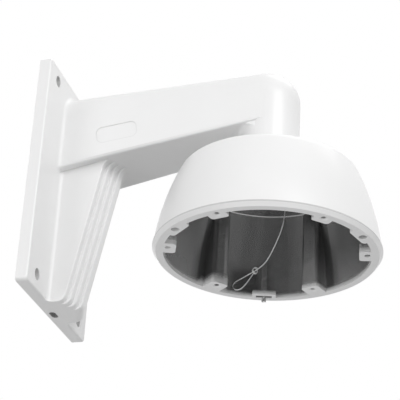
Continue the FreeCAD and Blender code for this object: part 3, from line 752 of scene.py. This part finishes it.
# %% [markdown]
# ## The knot
# The rope's end is wound back round its own standing part, which makes the open loop.
# The winding is a spring-like line that leans against the rope's direction there. It has only
# two turns, each of its own size, because a hand-tied knot is never an even spring.

# %% The knot's line
def knot_turns(centre, along, turns, radius, pitch):
    """Turns of a winding about a direction, in millimetres, each one a little different."""
    along = along.normalized()
    side = along.cross(Vector((0, 0, 1))).normalized()
    upright = side.cross(along)
    start = -turns * pitch / 2
    points = []
    for step in range(turns * 8 + 1):
        share = step / 8
        wobble = 1.0 + 0.10 * math.sin(share * 4.1 + 0.6)
        angle = share * 2 * math.pi + 0.8
        advance = start + share * pitch + 0.28 * math.sin(angle + share)
        ring = side * math.cos(angle) + upright * math.sin(angle)
        points.append(centre + along * advance + ring * radius * wobble)
    return points


knot_from = Vector(ROPE_LINE[5])
knot_to = Vector(ROPE_LINE[6])
knot_centre = knot_from.lerp(knot_to, 0.42)
KNOT_LEAN = Vector((0.62, -0.25, 0.5))
knot_way = (knot_to - knot_from).normalized() + KNOT_LEAN
winding = knot_turns(knot_centre, knot_way, turns=2, radius=2.2, pitch=1.7)
knot_line = smooth_line("knot_line", winding, 6)
knot = grow("rope_knot_wound", knot_line, strand_tree, Finish=rope_finish, Step=0.3 * MM)

for piece, node, slot in ((rope, "safety_rope", "rope_steel"), (knot, "rope_knot", "rope_steel")):
    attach(piece, "root")
    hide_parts(node)

# %% [markdown]
# ## Floor, world and light
# The photograph has a pure white ground and very soft light: the sides are bright and
# even, the neck has a broad highlight down its middle, and what faces down is a third
# darker. The world is white only where the camera, glossy or see-through rays meet it, and
# a calm grey as a light. Four soft boxes shape the rest: the large one at the side gives the
# neck its highlight, and the weak one on the wall's far side keeps that side out of the dark.
# The floor lies below the camera and looks paler to it than it is, but keeps the shadow.

# %% Floor
FLOOR_LEVEL = -1.4
FLOOR_HALF = 9.0
FLOOR_LIFT = 0.55


def make_floor():
    half = FLOOR_HALF
    turns = ((-half, -half), (half, -half), (half, half), (-half, half))
    corners = [(east, north, FLOOR_LEVEL) for east, north in turns]
    mesh = bpy.data.meshes.new("floor")
    mesh.from_pydata(corners, [], [(0, 1, 2, 3)])
    floor = bpy.data.objects.new("floor", mesh)
    bpy.context.scene.collection.objects.link(floor)
    f = new_finish("pale_floor")
    x, y, z = f.place()
    cloud = f.noise(f.vector(x, y, z), 0.004, detail=2.0)
    value = 0.78 + (cloud - 0.5) * 0.02
    inputs = {"Base Color": f.vector(value, value, value), "Roughness": 0.8}
    matt = f.node("ShaderNodeBsdfPrincipled", inputs=inputs)
    glow = f.node("ShaderNodeEmission", inputs={"Color": (1.0, 1.0, 1.0, 1.0), "Strength": 1.0})
    seen = f.node("ShaderNodeLightPath", output="Is Camera Ray")
    shader = f.node("ShaderNodeMixShader", inputs={0: seen * FLOOR_LIFT, 1: matt, 2: glow})
    f.node("ShaderNodeOutputMaterial", inputs={"Surface": shader}, output=None)
    wear(floor, f.owner)


make_floor()
print("floor at", FLOOR_LEVEL, "m,", 2 * FLOOR_HALF, "m wide")

# %% World
WORLD_LIGHT = 0.5


def make_world():
    """Calm grey as a light, white where it is looked at or mirrored."""
    world = bpy.data.worlds.new("studio")
    bpy.context.scene.world = world
    w = Finish(world)
    looked_at = w.node("ShaderNodeLightPath", output="Is Camera Ray")
    mirrored = w.node("ShaderNodeLightPath", output="Is Glossy Ray")
    through = w.node("ShaderNodeLightPath", output="Is Transmission Ray")
    grey = (WORLD_LIGHT, WORLD_LIGHT, WORLD_LIGHT, 1.0)
    calm = w.node("ShaderNodeBackground", inputs={"Color": grey})
    white = w.node("ShaderNodeBackground", inputs={"Color": (1.0, 1.0, 1.0, 1.0)})
    shown = looked_at.largest(mirrored).largest(through)
    choice = w.node("ShaderNodeMixShader", inputs={0: shown, 1: calm, 2: white})
    w.node("ShaderNodeOutputWorld", inputs={"Surface": choice}, output=None)


make_world()
print("world light:", WORLD_LIGHT)

# %% Lamps
def add_softbox(name, place, target, size, power):
    """A square lamp at place that faces target, in metres and watts."""
    light = bpy.data.lights.new(name, "AREA")
    light.shape = "SQUARE"
    light.size = size
    light.energy = power
    lamp = bpy.data.objects.new(name, light)
    bpy.context.scene.collection.objects.link(lamp)
    way = Vector(place) - Vector(target)
    turn = way.to_track_quat("Z", "Y").to_matrix().to_4x4()
    lamp.matrix_world = Matrix.Translation(place) @ turn


OBJECT_MIDDLE = (0.0, -0.12, 0.0)
SOFTBOXES = {
    "side_softbox": ((-1.4, -1.3, 0.65), 1.1, 18.2),
    "left_softbox": ((-1.5, 0.9, -0.4), 0.8, 7.0),
    "far_softbox": ((1.9, 0.3, 0.5), 1.1, 3.5),
    "top_softbox": ((0.6, -0.6, 1.9), 1.2, 6.0),
}
for name, (place, size, power) in SOFTBOXES.items():
    add_softbox(name, place, OBJECT_MIDDLE, size, power)
    print(name, size, "m,", power, "W")
bpy.context.scene.view_settings.view_transform = "Standard"
